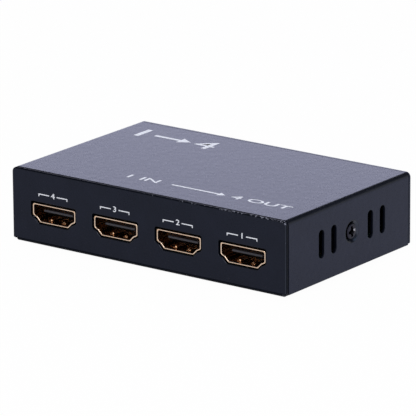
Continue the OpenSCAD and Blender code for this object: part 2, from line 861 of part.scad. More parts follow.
module clock_crystal() color(tin) at_board(crystal_at) {
    r = crystal_size.y / 2;
    straight = crystal_size.x - crystal_size.y;
    linear_extrude(crystal_size.z) {
        square([straight, crystal_size.y], center = true);
        for (s = [-1, 1]) translate([s * straight / 2, 0]) circle(r);
    }
}

module capacitor_cans() color("#a9adb3") {
    r = cap_d / 2;
    groove = cap_groove;
    for (p = caps_at) at_board(p) translate([0, 0, cap_base_h]) rotate_extrude() polygon([
        [0, 0], [r, 0], [r, groove], [r - groove, 2 * groove], [r, 3 * groove],
        [r, cap_h - cap_base_h - groove], [r - groove, cap_h - cap_base_h], [0, cap_h - cap_base_h]]);
}

module capacitor_bases() color(black_resin) {
    for (p = caps_at) at_board(p) block([cap_base_w, cap_base_w, cap_base_h]);
}

module power_inductor() color("#4a4b50") at_board(inductor_at) {
    linear_extrude(inductor_h) translate([0, -inductor_w / 2])
        round_plate(inductor_w, 0, inductor_w, inductor_corner, inductor_corner);
}

// Rows of small parts behind each output socket
module small_part_rows(row) {
    for (n = outputs, i = [0 : small_parts_per_port - 1])
        at_board([port_x(n) + (i - (small_parts_per_port - 1) / 2) * small_part_pitch, outputs_end + row])
            block([small_part_w, small_part_l, small_part_h]);
}

module chip_resistors() color("#2a2a2c") small_part_rows(resistor_row);
module chip_capacitors() color("#a98a63") small_part_rows(capacitor_row);

top_cover();
base_tray();
case_screw_right();
case_screw_left();
rubber_feet();
board_standoffs();
board_screws();
circuit_board();
at_output(1) socket_shell();  // output_1_shell
at_output(1) socket_insulator();  // output_1_insulator
at_output(1) socket_contacts();  // output_1_contacts
at_output(2) socket_shell();  // output_2_shell
at_output(2) socket_insulator();  // output_2_insulator
at_output(2) socket_contacts();  // output_2_contacts
at_output(3) socket_shell();  // output_3_shell
at_output(3) socket_insulator();  // output_3_insulator
at_output(3) socket_contacts();  // output_3_contacts
at_output(4) socket_shell();  // output_4_shell
at_output(4) socket_insulator();  // output_4_insulator
at_output(4) socket_contacts();  // output_4_contacts
at_input() socket_shell();  // input_shell
at_input() socket_insulator();  // input_insulator
at_input() socket_contacts();  // input_contacts
at_jack() jack_housing();
at_jack() jack_middle_pin();
at_jack() jack_spring_contact();
power_light();
power_light_leads();
splitter_chip();
splitter_chip_leads();
thermal_pad();
heat_sink();
control_chip();
control_chip_leads();
memory_chip();
memory_chip_leads();
voltage_regulators();
voltage_regulator_leads();
clock_crystal();
capacitor_cans();
capacitor_bases();
power_inductor();
chip_resistors();
chip_capacitors();
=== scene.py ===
# %% [markdown]
# # Dressing a four-way video splitter
#
# The real thing is a small steel box: a cover folded over a tray, four gilt sockets in the front panel,
# slots for cooling air and a countersunk screw in each side. The frame already holds every piece at its
# real size, in metres. This lesson gives the pieces soft edges, cuts real threads on the screws, prints
# the legends and mixes a finish for each material. The scene starts empty, because the default cube and
# lamp would count as pieces.

# %% Load the frame
import json
from math import cos, pi, radians, sin, sqrt

import bpy
from mathutils import Matrix, Vector

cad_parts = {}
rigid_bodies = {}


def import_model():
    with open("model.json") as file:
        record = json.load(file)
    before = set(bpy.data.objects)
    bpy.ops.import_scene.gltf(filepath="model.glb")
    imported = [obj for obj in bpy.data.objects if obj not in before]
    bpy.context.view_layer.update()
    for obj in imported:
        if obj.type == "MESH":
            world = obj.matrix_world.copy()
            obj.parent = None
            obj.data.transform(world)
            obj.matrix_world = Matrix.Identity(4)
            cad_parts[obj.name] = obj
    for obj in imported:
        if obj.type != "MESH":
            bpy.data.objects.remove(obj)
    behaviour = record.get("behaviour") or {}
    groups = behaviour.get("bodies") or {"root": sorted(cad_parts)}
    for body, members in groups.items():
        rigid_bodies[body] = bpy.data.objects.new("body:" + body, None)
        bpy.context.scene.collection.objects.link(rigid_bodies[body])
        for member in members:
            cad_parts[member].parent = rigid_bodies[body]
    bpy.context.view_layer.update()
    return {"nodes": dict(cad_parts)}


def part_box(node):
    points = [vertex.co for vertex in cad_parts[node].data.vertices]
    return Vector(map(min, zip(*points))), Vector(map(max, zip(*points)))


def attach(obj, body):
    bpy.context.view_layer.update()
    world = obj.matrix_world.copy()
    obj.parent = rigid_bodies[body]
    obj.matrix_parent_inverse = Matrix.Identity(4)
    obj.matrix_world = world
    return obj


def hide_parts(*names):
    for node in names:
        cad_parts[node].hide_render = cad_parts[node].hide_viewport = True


MM = 0.001

bpy.ops.object.select_all(action="SELECT")
bpy.ops.object.delete()
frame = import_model()
case_low, case_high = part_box("base_tray")
print("nodes in the frame:", len(frame["nodes"]))

# %% [markdown]
# ## Camera
#
# The photograph looks at the front right corner from a little above, with a long lens, so the edges stay
# nearly parallel. The camera is placed by two angles and a distance from the point that it looks at. A
# camera could also track an empty, but a fixed matrix keeps its small roll exact.

# %% Place the camera
VIEW_TURN = radians(36.725)
VIEW_RISE = radians(16.471)
VIEW_ROLL = radians(-0.39)
VIEW_DISTANCE = 1220.2 * MM
LENS = 387.17
SENSOR = 36
look_at = Vector((-0.942 * MM, 0, case_low.z + 9.861 * MM))


def direction(turn, rise):
    """The unit vector to a point at that angle round the box, from the front, and that angle up."""
    return Vector((sin(turn) * cos(rise), -cos(turn) * cos(rise), sin(rise)))


back = direction(VIEW_TURN, VIEW_RISE)
level = Vector((cos(VIEW_TURN), sin(VIEW_TURN), 0))
right = level * cos(VIEW_ROLL) + back.cross(level) * sin(VIEW_ROLL)
up = back.cross(right)

bpy.ops.object.camera_add()
camera = bpy.context.object
camera.data.lens = LENS
camera.data.sensor_width = SENSOR
camera.matrix_world = Matrix((right, up, back)).transposed().to_4x4()
camera.location = look_at + back * VIEW_DISTANCE
bpy.context.scene.camera = camera
print("camera at, in mm:", [round(v / MM, 1) for v in camera.location])

# %% [markdown]
# ## Nodes and colours
#
# Every finish below is a small node tree. One function adds a node, sets its properties and fills or
# links its inputs, so a tree reads from top to bottom. Colours are written as sRGB hex values, as a paint
# chart gives them, and turned to the linear values that a shader works with.


# %% Make the node helper
def linear(hex_colour):
    """An sRGB hex colour as linear red, green, blue and alpha."""
    parts = [int(hex_colour[i:i + 2], 16) / 255 for i in (1, 3, 5)]
    return [c / 12.92 if c <= 0.04045 else ((c + 0.055) / 1.055) ** 2.4 for c in parts] + [1]


def per_mm(size):
    """The texture scale at which one feature of a pattern is that many millimetres wide."""
    return 1 / (size * MM)


def add(tree, kind, inputs=(), **settings):
    """Adds a node and sets its properties. Its inputs get values, sockets, or a node's first output."""
    node = tree.nodes.new("ShaderNode" + kind)
    for name, value in settings.items():
        setattr(node, name, value)
    for socket, value in dict(inputs).items():
        if isinstance(value, bpy.types.Node):
            value = value.outputs[0]
        if isinstance(value, bpy.types.NodeSocket):
            tree.links.new(value, node.inputs[socket])
        else:
            node.inputs[socket].default_value = value
    return node


def start_material(name):
    """A new material with an empty tree, and the piece's own coordinates to read patterns from."""
    material = bpy.data.materials.new(name)
    material.use_nodes = True
    tree = material.node_tree
    tree.nodes.clear()
    return material, tree, add(tree, "TexCoord").outputs["Object"]


# Noise keeps mostly between these values, so a pattern is spread from one to the other
NOISE_SPAN = {"From Min": 0.3, "From Max": 0.7}
print("mid grey in linear light:", [round(c, 3) for c in linear("#808080")[:3]])

# %% [markdown]
# ## Floor, world and lamps
#
# A studio table: a white floor, a pale world that darkens overhead, a large softbox behind the box whose
# reflection makes the lid glance, and others in front, above and to the right. The floor and the world
# show white to the camera and pale to mirrors, while the light on matt surfaces stays at a plain level.
# Part of the floor's own shading is kept, so the box has its shadow and its lower edges mirror it.

# %% Set the studio
FLOOR_SIZE = 4.0
FLOOR_WHITE = 0.98
FLOOR_MIRROR = 0.4
HORIZON = "#ffffff"
OVERHEAD = "#505259"
PALE_UP_TO = radians(14)
DARK_FROM = radians(28)
AMBIENT = 0.5
AMBIENT_TINT = "#f4f6ff"

scene = bpy.context.scene
scene.view_settings.view_transform = "Standard"


def shown_rays(tree, camera_share, mirror_share):
    """A share for camera rays, one for glossy and transmission rays, and 0 for light on matt surfaces."""
    rays = add(tree, "LightPath").outputs
    seen = add(tree, "Math", {0: rays["Is Camera Ray"], 1: camera_share}, operation="MULTIPLY")
    for name in ("Is Glossy Ray", "Is Transmission Ray"):
        seen = add(tree, "Math", {0: rays[name], 1: mirror_share, 2: seen}, operation="MULTIPLY_ADD")
    return seen


world = bpy.data.worlds.new("studio")
scene.world = world
world.use_nodes = True
sky = world.node_tree
sky.nodes.clear()
height = add(sky, "SeparateXYZ", {0: add(sky, "TexCoord").outputs["Generated"]}).outputs["Z"]
dusk = add(sky, "MapRange", {"Value": height, "From Min": sin(PALE_UP_TO), "From Max": sin(DARK_FROM)})
shade = add(sky, "Mix", {0: dusk, 6: linear(HORIZON), 7: linear(OVERHEAD)}, data_type="RGBA").outputs[2]
backdrop = add(sky, "Background", {"Color": shade})
ambient = add(sky, "Background", {"Color": linear(AMBIENT_TINT), "Strength": AMBIENT})
both = add(sky, "MixShader", {0: shown_rays(sky, 1, 1), 1: ambient, 2: backdrop})
add(sky, "OutputWorld", {"Surface": both})

bpy.ops.mesh.primitive_plane_add(size=FLOOR_SIZE)
floor = bpy.context.object
floor.name = "floor"
floor_material, tree = start_material("white_table")[:2]
matt = add(tree, "BsdfDiffuse", {"Color": linear("#f2f2f2")})
glow = add(tree, "Emission", {"Color": linear("#ffffff"), "Strength": 1.0})
share = shown_rays(tree, FLOOR_WHITE, FLOOR_MIRROR)
add(tree, "OutputMaterial", {"Surface": add(tree, "MixShader", {0: share, 1: matt, 2: glow})})
floor.data.materials.append(floor_material)

# Each softbox: angle round the box and angle up in degrees, distance and side in metres, brightness, colour
SOFTBOXES = {
    "back_softbox": (216.7, 15, 0.8, 0.42, 1.22, "#dadcff"),
    "front_softbox": (20, 33, 0.8, 0.3, 4.5, "#fffaf6"),
    "top_softbox": (46, 60, 0.7, 0.3, 3.0, "#ffffff"),
    "right_softbox": (112, 25, 0.45, 0.225, 1.15, "#cbe9ff"),
}
for name, (turn, rise, distance, side, brightness, colour) in SOFTBOXES.items():
    toward = direction(radians(turn), radians(rise))
    bpy.ops.object.light_add(type="AREA", location=toward * distance)
    lamp = bpy.context.object
    lamp.name = name
    lamp.rotation_euler = toward.to_track_quat("Z", "Y").to_euler()
    lamp.data.size = side
    lamp.data.energy = brightness * pi * side ** 2
    lamp.data.color = linear(colour)[:3]
    lamp.visible_camera = False
print("softboxes:", ", ".join(SOFTBOXES))

# %% [markdown]
# ## Powder coat
#
# The case is steel, sprayed with dry polyester powder and baked. It gives the eye a nearly black, slightly
# blue surface with a satin gloss and a soft orange-peel grain, and it looks pale lavender where light
# glances off it. A little sheen with a violet tint makes that glancing haze. A clear coat could give the
# gloss too, but it would look wet. The finest grain is drawn as coarse as it needs to show in the render.
# Here and there a grain of dust in the powder leaves a dull dot.
#
# Other copies of the same recipe have other numbers. The edges have no haze. The cuts and the folds have
# almost no gloss, which paints the shade in them, and the ends of the front panel have less, which darkens
# them. Its corners and the screws' dimples, where they slope to the front, have more gloss, which paints a
# highlight. Its upper edge has almost no gloss, which paints a dark band along it, and small pale chips
# where the cover rubs each time it is slid on.


# %% Mix the powder coat
def powder_coat(name, sheen, specular, chipped=0.0):
    """Baked polyester powder on steel, with its glancing haze and gloss. Chips get denser to the right."""
    material, tree, place = start_material(name)
    patches = add(tree, "TexNoise", {"Vector": place, "Scale": per_mm(7.0), "Detail": 3.0})
    specks = add(tree, "TexNoise", {"Vector": place, "Scale": per_mm(0.5), "Detail": 4.0})
    grain = add(tree, "TexNoise", {"Vector": place, "Scale": per_mm(0.45), "Detail": 2.0})
    peel = add(tree, "TexNoise", {"Vector": place, "Scale": per_mm(1.9), "Detail": 1.0})
    nibs = add(tree, "TexVoronoi", {"Vector": place, "Scale": per_mm(16.0)})
    patch = add(tree, "MapRange", {"Value": patches, **NOISE_SPAN})
    paint = add(tree, "Mix", {0: patch, 6: linear("#0a0d15"), 7: linear("#0f121c")}, data_type="RGBA")
    across = add(tree, "SeparateXYZ", {0: place}).outputs["X"]
    worn = {"Value": across, "From Min": -0.5 * case_high.x, "From Max": case_high.x, "To Max": chipped}
    chips = add(tree, "Math", {0: specks, 1: add(tree, "MapRange", worn)}, operation="ADD")
    chip = add(tree, "MapRange", {"Value": chips, "From Min": 0.74, "From Max": 0.78})
    tint = {0: chip, 6: paint.outputs[2], 7: linear("#7c7e8a")}
    colour = add(tree, "Mix", tint, data_type="RGBA")
    satin = {"Value": grain, **NOISE_SPAN, "To Min": 0.265, "To Max": 0.305}
    dot = {"From Min": 0.014, "From Max": 0.02, "To Min": 0.6, "To Max": 0.0}
    dull = {"Value": nibs.outputs["Distance"], **dot}
    gloss = {0: add(tree, "MapRange", satin), 1: add(tree, "MapRange", dull)}
    waves = add(tree, "Bump", {"Height": peel, "Distance": 0.034 * MM})
    relief = add(tree, "Bump", {"Height": grain, "Distance": 0.003 * MM, "Normal": waves})
    shader = add(tree, "BsdfPrincipled", {
        "Base Color": colour.outputs[2], "Roughness": add(tree, "Math", gloss), "Normal": relief,
        "Specular IOR Level": specular, "Specular Tint": linear("#dae3ff"),
        "Sheen Weight": sheen, "Sheen Roughness": 0.4, "Sheen Tint": linear("#929cea")})
    add(tree, "OutputMaterial", {"Surface": shader})
    return material


coat = powder_coat("powder_coat", sheen=0.34, specular=0.2)
coat_edge = powder_coat("powder_coat_edges", sheen=0.0, specular=0.2)
# The next copies paint light and shade with their gloss: almost none paints shade on the upper edge and in
# cuts and folds, less darkens the panel's ends, and more paints a highlight on corners and dimples.
coat_top_shade_chips = powder_coat("powder_coat_shaded_chipped_edge", sheen=0.0, specular=0.02, chipped=0.235)
coat_dull_shade = powder_coat("powder_coat_painted_shade", sheen=0.0, specular=0.02)
coat_gloss_highlight = powder_coat("powder_coat_painted_highlight", sheen=0.0, specular=0.75)
coat_end = powder_coat("powder_coat_darker_ends", sheen=0.0, specular=0.12)
coats = (coat, coat_edge, coat_top_shade_chips, coat_dull_shade, coat_gloss_highlight, coat_end)
print("powder coat:", ", ".join(finish.name for finish in coats))

# %% [markdown]
# ## Metals
#
# The sockets are drawn from thin bronze and flashed with gold inside, which keeps a fine satin drawing
# grain. A paler gold on their rim paints its highlight, and a dark, dull bronze outside paints the shade in
# the gap round them. The case screws are zinc plated and blackened. The leads, pins and screws on the board
# are bright tin, the standoffs are brass and the heat sink and capacitor cans are plain aluminium. They are
# all one shader with full metallic and a different tint, gloss and grain, so one function makes them. Their
# real grain is finer, and is drawn as coarse as it needs to show.


# %% Mix the metals
def plated_metal(name, light, dark, roughness, grain_mm, depth):
    """A metal with a cloudy tint and a fine grain. Roughness goes from its smooth to its rough spots."""
    material, tree, place = start_material(name)
    clouds = add(tree, "TexNoise", {"Vector": place, "Scale": per_mm(3.0), "Detail": 3.0})
    grain = add(tree, "TexNoise", {"Vector": place, "Scale": per_mm(grain_mm), "Detail": 2.0})
    cloud = add(tree, "MapRange", {"Value": clouds, **NOISE_SPAN})
    colour = add(tree, "Mix", {0: cloud, 6: linear(light), 7: linear(dark)}, data_type="RGBA")
    gloss = {"Value": grain, **NOISE_SPAN, "To Min": roughness[0], "To Max": roughness[1]}
    shader = add(tree, "BsdfPrincipled", {
        "Base Color": colour.outputs[2], "Metallic": 1.0, "Roughness": add(tree, "MapRange", gloss),
        "Normal": add(tree, "Bump", {"Height": grain, "Distance": depth * MM})})
    add(tree, "OutputMaterial", {"Surface": shader})
    return material


# Gold flash on drawn bronze: pale, warm and satin. The paler rim paints its highlight, the dark dull bronze
# paints the shade outside the shell, and contact gold is yellower.
gilt = plated_metal("gold_flashed_bronze", "#e8bf98", "#dcae84", (0.1, 0.18), 0.3, 0.001)
rim_highlight_gilt = plated_metal("gold_rim_painted_highlight", "#f8e6d4", "#f0d6bf", (0.2, 0.3), 0.3, 0.002)
bronze = plated_metal("bronze_painted_gap_shade", "#4a3628", "#3a2a1f", (0.5, 0.65), 0.3, 0.002)
contact_gold = plated_metal("hard_contact_gold", "#e3b56a", "#d09c4e", (0.18, 0.3), 0.2, 0.002)
# Black zinc with an oily gloss, greyer on the head's face. The darker copy paints the shade on the rim and
# in the cross, and a pale one paints a glint.
shaded_zinc = plated_metal("black_zinc_painted_shade", "#121216", "#0c0c0f", (0.2, 0.34), 0.4, 0.004)
face_zinc = plated_metal("black_zinc_head_face", "#32313d", "#28272f", (0.2, 0.34), 0.4, 0.004)
zinc_painted_glint = plated_metal("zinc_painted_glint", "#bebec6", "#a8a8b0", (0.3, 0.4), 0.3, 0.002)
# Dipped tin: bright, cool and a little cloudy
tin = plated_metal("dipped_tin", "#cfd1d4", "#b4b7bc", (0.22, 0.4), 0.3, 0.004)
# Turned brass: yellow, with fine tool marks
brass = plated_metal("turned_brass", "#d9b45f", "#c19a48", (0.2, 0.32), 0.15, 0.003)
# Extruded aluminium: pale and dull
aluminium = plated_metal("extruded_aluminium", "#c7c9cc", "#adb0b5", (0.3, 0.45), 0.25, 0.005)
metals = (gilt, rim_highlight_gilt, bronze, contact_gold, shaded_zinc, face_zinc, zinc_painted_glint, tin, brass, aluminium)
print("metals:", ", ".join(metal.name for metal in metals))

# %% [markdown]
# ## Moulded and cast materials
#
# The jack is a glass-filled black resin with a satin skin, and the socket tongues a greyer nylon. The chips
# are epoxy with a sand-like skin, the feet are soft rubber, the pad is grey silicone and the chip parts are
# fired ceramic. They differ in colour, gloss and the size of their grain, which is drawn as coarse as it
# needs to show.


# %% Mix the moulded materials
def moulded(name, light, dark, roughness, grain_mm, depth, specular=0.5):
    """A cast or moulded solid with a speckle of two colours and a grain of that size and depth."""
    material, tree, place = start_material(name)
    grain = add(tree, "TexNoise", {"Vector": place, "Scale": per_mm(grain_mm), "Detail": 3.0})
    speckle = add(tree, "MapRange", {"Value": grain, **NOISE_SPAN})
    colour = add(tree, "Mix", {0: speckle, 6: linear(dark), 7: linear(light)}, data_type="RGBA")
    gloss = {"Value": grain, **NOISE_SPAN, "To Min": roughness[0], "To Max": roughness[1]}
    shader = add(tree, "BsdfPrincipled", {
        "Base Color": colour.outputs[2], "Roughness": add(tree, "MapRange", gloss),
        "Specular IOR Level": specular,
        "Normal": add(tree, "Bump", {"Height": grain, "Distance": depth * MM})})
    add(tree, "OutputMaterial", {"Surface": shader})
    return material


# Glass-filled resin: black, with a satin skin from a polished tool
resin = moulded("glass_filled_resin", "#1c1c1f", "#141416", (0.2, 0.3), 0.25, 0.002, specular=0.4)
# Glass-filled nylon: greyer, as the fibres come to its skin
nylon = moulded("glass_filled_nylon", "#45454e", "#38383f", (0.2, 0.3), 0.25, 0.002, specular=0.4)
# Moulding epoxy: dark grey, like fine sandpaper
epoxy = moulded("moulding_epoxy", "#26272a", "#191a1c", (0.5, 0.7), 0.15, 0.008)
# Soft rubber: black and almost without gloss
rubber = moulded("soft_rubber", "#1d1d1e", "#141415", (0.7, 0.9), 0.4, 0.012)
# Filled silicone: grey and chalky
silicone = moulded("filled_silicone", "#9aa0ab", "#838995", (0.6, 0.8), 0.5, 0.01)
# Fired ceramic: tan, with a biscuit grain
ceramic = moulded("fired_ceramic", "#a4845c", "#7f6443", (0.4, 0.6), 0.3, 0.005)
mouldings = (resin, nylon, epoxy, rubber, silicone, ceramic)
print("moulded materials:", ", ".join(moulding.name for moulding in mouldings))

# %% [markdown]
# ## Board, lens and ink
#
# The board is glass laminate under dark green lacquer, with copper tracks that show as paler lines. A
# brick pattern with thin mortar stands for the tracks. They could be modelled, but no more than a hint of
# them shows through the slots.

# %% Mix the laminate
TRACK_PITCH = 1.6
laminate, tree, place = start_material("lacquered_laminate")
weave = add(tree, "TexNoise", {"Vector": place, "Scale": per_mm(0.5)})
tracks = add(tree, "TexBrick", {
    "Vector": place, "Scale": 1.0,
    "Mortar Size": 0.25 * MM, "Brick Width": 6 * MM, "Row Height": TRACK_PITCH * MM,
    "Color1": linear("#08130e"), "Color2": linear("#0a1711"), "Mortar": linear("#122a1e")})
gloss = {"Value": weave, **NOISE_SPAN, "To Min": 0.25, "To Max": 0.4}
shader = add(tree, "BsdfPrincipled", {
    "Base Color": tracks, "Roughness": add(tree, "MapRange", gloss),
    "Normal": add(tree, "Bump", {"Height": tracks.outputs["Fac"], "Distance": 0.03 * MM})})
add(tree, "OutputMaterial", {"Surface": shader})
print("tracks every", TRACK_PITCH, "mm on", laminate.name)

# %% [markdown]
# The power light is tinted epoxy that lets light through. A glass shader could do that too, but this one
# keeps its tint and gloss when the model is exported.

# %% Mix the lens
CLEAR = 0.55
lens, tree, place = start_material("tinted_lens_epoxy")
swirls = add(tree, "TexNoise", {"Vector": place, "Scale": per_mm(1.2)})
swirl = add(tree, "MapRange", {"Value": swirls, **NOISE_SPAN})
tint = add(tree, "Mix", {0: swirl, 6: linear("#d8473c"), 7: linear("#c23a30")}, data_type="RGBA")
gloss = add(tree, "MapRange", {"Value": swirl, "To Min": 0.08, "To Max": 0.16})
shader = add(tree, "BsdfPrincipled", {
    "Base Color": tint.outputs[2], "Roughness": gloss, "IOR": 1.52, "Transmission Weight": CLEAR})
add(tree, "OutputMaterial", {"Surface": shader})
print("share of the light that goes through the lens:", CLEAR)

# %% [markdown]
# The legends are screen-printed white ink, uneven where the mesh of the screen left it thin. Marks of a real
# mesh are finer, and are drawn as coarse as they need to show.

# %% Mix the ink
SCREEN = 0.25
ink, tree, place = start_material("screen_printed_ink")
mesh_marks = add(tree, "TexNoise", {"Vector": place, "Scale": per_mm(SCREEN), "Detail": 3.0})
thin = add(tree, "MapRange", {"Value": mesh_marks, **NOISE_SPAN})
white = add(tree, "Mix", {0: thin, 6: linear("#e6eaf2"), 7: linear("#fafcff")}, data_type="RGBA")
gloss = add(tree, "MapRange", {"Value": thin, "To Min": 0.35, "To Max": 0.45})
shader = add(tree, "BsdfPrincipled", {
    "Base Color": white.outputs[2], "Roughness": gloss,
    "Normal": add(tree, "Bump", {"Height": mesh_marks, "Distance": 0.004 * MM})})
add(tree, "OutputMaterial", {"Surface": shader})
print("ink with screen marks of", SCREEN, "mm:", ink.name)

# %% [markdown]
# ## Soft edges on the sheet metal and the mouldings
#
# A pressed edge under paint is never sharp, and the thin light along it is what makes steel look like
# steel. The frame's shapes are right, so each piece starts as a merged copy of its node. A limited
# dissolve joins the triangles of a flat face, and a bevel rounds every edge that turns by more than a set
# angle. Bevel weights make some edges rounder than others, and weighted normals keep the flats flat.

# %% Make soft edges
MERGE = 0.002
FLAT = 0.5
SHARP = 35
SMOOTH = 50


def only(obj):
    """Selects one object and makes it the active one."""
    bpy.ops.object.select_all(action="DESELECT")
    obj.select_set(True)
    bpy.context.view_layer.objects.active = obj


def dress(piece, nodes, body):
    """The piece stands for these nodes, which are hidden, and moves with that body."""
    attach(piece, body)
    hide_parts(*nodes)


def softened(node, radius_at, widest, finishes, segments=2):
    """A merged copy of a node with round edges. Radius_at gives the radius at a place, in millimetres."""
    piece = bpy.data.objects.new("soft_" + node, frame["nodes"][node].data.copy())
    scene.collection.objects.link(piece)
    piece.data.materials.clear()
    for finish in finishes:
        piece.data.materials.append(finish)
    only(piece)
    bpy.ops.object.mode_set(mode="EDIT")
    bpy.ops.mesh.select_mode(type="EDGE")
    bpy.ops.mesh.select_all(action="SELECT")
    bpy.ops.mesh.remove_doubles(threshold=MERGE * MM)
    bpy.ops.mesh.dissolve_limited(angle_limit=radians(FLAT))
    bpy.ops.mesh.select_all(action="DESELECT")
    bpy.ops.mesh.edges_select_sharp(sharpness=radians(SHARP))
    bpy.ops.object.mode_set(mode="OBJECT")
    weights = piece.data.attributes.new("bevel_weight_edge", "FLOAT", "EDGE").data
    for edge in piece.data.edges:
        ends = [piece.data.vertices[i].co for i in edge.vertices]
        if edge.select:
            weights[edge.index].value = radius_at((ends[0] + ends[1]) / 2) / widest
    bpy.ops.object.modifier_add(type="BEVEL")
    bevel = piece.modifiers[-1]
    bevel.width = widest * MM
    bevel.segments = segments
    bevel.limit_method = "WEIGHT"
    bevel.loop_slide = False
    bevel.use_clamp_overlap = False
    bevel.material = min(1, len(finishes) - 1)
    bpy.ops.object.modifier_apply(modifier=bevel.name)
    bpy.ops.object.shade_smooth_by_angle(angle=radians(SMOOTH))
    bpy.ops.object.modifier_add(type="WEIGHTED_NORMAL")
    piece.modifiers[-1].keep_sharp = True
    bpy.ops.object.modifier_apply(modifier=piece.modifiers[-1].name)
    dress(piece, [node], "casing")
    return piece


print("edges that turn by more than", SHARP, "degrees are rounded")

# %% [markdown]
# The tray comes first. The outline of its front panel is well rounded on the outside and a little behind,
# its cut-outs are crisp, and the ends of its folds stay sharp. One radius goes all round the outline,
# because a bevel tears the panel's face where two radii meet on a round corner. A face that has another
# coat than the flats is found by its place and its normal.

# %% Soften the tray
FRONT_EDGE = 0.45
REAR_EDGE = 0.03
SHEET_EDGE = 0.12
INNER_EDGE = 0.05
SHEET = 0.8
FOLD = 2.2
OUTLINE_TOP = 1.5
OUTLINE_SIDE = 1.0
CRISP_DEPTH = 0.2


def near_panels(radius, depth):
    """An edge radius down to a depth behind the panels' faces, in millimetres, and sharp edges deeper."""
    return lambda place: radius if abs(place.y) > case_high.y - depth * MM else 0


def tray_radius(place):
    """Round on the outline of the panels, crisp on their cut-outs, and sharp on the ends of the folds."""
    at_top = place.z > case_high.z - OUTLINE_TOP * MM
    at_side = abs(place.x) > case_high.x - OUTLINE_SIDE * MM
    behind = abs(place.y) < case_high.y - (SHEET + INNER_EDGE) * MM
    if behind or not (at_top or at_side):
        return near_panels(SHEET_EDGE, CRISP_DEPTH)(place) if place.z > case_low.z + FOLD * MM else 0
    if place.y > 0:
        return REAR_EDGE
    return FRONT_EDGE if place.y < case_low.y + SHEET / 2 * MM else INNER_EDGE


def tray_finish(face):
    """Painted shade in the folds and on the upper edge, which has chips, darker ends, and a painted
    highlight beside them.
    """
    in_front = face.center.y < case_low.y + SHEET * MM
    in_fold = face.center.z < case_low.z + FOLD * MM and 0.2 < abs(face.normal.y) < 0.98
    on_top = face.center.z > case_high.z - SHEET * MM and face.normal.z > 0.3
    sideways = abs(face.normal.x)
    if in_fold:
        return coat_dull_shade
    if not in_front:
        return coat if abs(face.normal.y) < 0.8 else None
    if on_top:
        return coat_top_shade_chips
    if sideways > 0.7:
        return coat_end
    if sideways > 0.35:
        return coat_gloss_highlight
    return coat_edge if abs(face.normal.y) < 0.8 else None


def finish_faces(piece, finish_of):
    """Gives each face of a piece the finish that a function picks for it. None changes nothing."""
    order = {finish: i for i, finish in enumerate(piece.data.materials)}
    for face in piece.data.polygons:
        finish = finish_of(face)
        if finish:
            face.material_index = order[finish]


finishes = [coat, coat_edge, coat_dull_shade, coat_top_shade_chips, coat_gloss_highlight, coat_end]
tray = softened("base_tray", tray_radius, FRONT_EDGE, finishes, segments=4)
finish_faces(tray, tray_finish)
print("tray: outline rounded to", FRONT_EDGE, "mm,", len(tray.data.polygons), "faces")

# %% [markdown]
# The cover has a small radius on all its edges, and almost none where it meets the rear panel. One radius
# for all would be simpler, but it would open that hairline seam into a groove.

# %% Soften the cover
DIMPLE = 1.5
screw_low, screw_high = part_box("case_screw_right")


def cover_radius(place):
    """The cover's edges are round, apart from those that meet the rear panel."""
    return REAR_EDGE if place.y > case_high.y - 2 * SHEET * MM else SHEET_EDGE


def cover_finish(face):
    """Without haze on the bends, a painted highlight where a dimple slopes to the front, and painted shade
    in the cuts.
    """
    in_side = abs(face.center.x) > case_high.x - SHEET * MM
    in_dimple = screw_low.y - DIMPLE * MM < face.center.y < screw_high.y + DIMPLE * MM
    sideways = abs(face.normal.x)
    if 0.2 < sideways < 0.97:
        return coat_gloss_highlight if in_dimple and face.normal.y < -0.2 else coat_edge
    return coat_dull_shade if in_side and sideways < 0.2 else None


finishes = [coat, coat_edge, coat_dull_shade, coat_gloss_highlight]
cover = softened("top_cover", cover_radius, SHEET_EDGE, finishes)
finish_faces(cover, cover_finish)
print("cover: edges rounded to", SHEET_EDGE, "mm,", len(cover.data.polygons), "faces")

# %% [markdown]
# The gilt shells have thin drawn edges, and the mouldings a little more radius, as their tools need. The
# shells are gilt inside and on the rim only, and the rim's paler gold paints its highlight. Outside and in
# their slits a dark bronze paints the shade in the gap round them. The tongues are darker below than on
# top, which paints the shade under them.

# %% Soften the sockets, the jack and the heat sink
PORTS = ["output_1", "output_2", "output_3", "output_4", "input"]
FIN_EDGE = 0.1
JACK_EDGE = 0.15
JACK_DEPTH = 2
RIM_EDGE = 0.14
RIM_DEPTH = 0.5
TONGUE_EDGE = 0.06
TONGUE_DEPTH = 3


def anywhere(radius):
    """The same edge radius at every place."""
    return lambda place: radius


def shell_finish(port):
    """Picks dark bronze for the outside of a port's shell and its slits behind the rim, as painted shade."""
    shell_low, shell_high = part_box(port + "_shell")
    middle = (shell_low + shell_high) / 2

    def finish(face):
        outward = (face.center - middle).xz.dot(face.normal.xz) > 0
        in_slit = abs(face.normal.y) > 0.95
        behind_rim = abs(face.center.y) < case_high.y - RIM_DEPTH * MM
        return bronze if (outward or in_slit) and behind_rim else None

    return finish


def insulator_finish(face):
    """Dark resin below, which paints the shade under the tongue."""
    return resin if face.normal.z < -0.3 else None


softened("heat_sink", anywhere(FIN_EDGE), FIN_EDGE, [aluminium])
softened("jack_housing", near_panels(JACK_EDGE, JACK_DEPTH), JACK_EDGE, [resin])
for port in PORTS:
    rim = near_panels(RIM_EDGE, RIM_DEPTH)
    shell = softened(port + "_shell", rim, RIM_EDGE, [gilt, rim_highlight_gilt, bronze], segments=3)
    finish_faces(shell, shell_finish(port))
    tongue = near_panels(TONGUE_EDGE, TONGUE_DEPTH)
    insulator = softened(port + "_insulator", tongue, TONGUE_EDGE, [nylon, resin])
    finish_faces(insulator, insulator_finish)
print("softened sockets:", ", ".join(PORTS))

# %% [markdown]
# ## Turned shapes
#
# Feet, screws and the lamp's lens are round, so each starts as half an outline. A plane is merged to one
# point, the point is extruded along the outline, and a spin turns the line into a solid. It could also be
# a cylinder with many insets, but the outline says at a glance what the section is.

# %% Turn an outline
DOUBLES = 0.001
TURNED_SMOOTH = 40


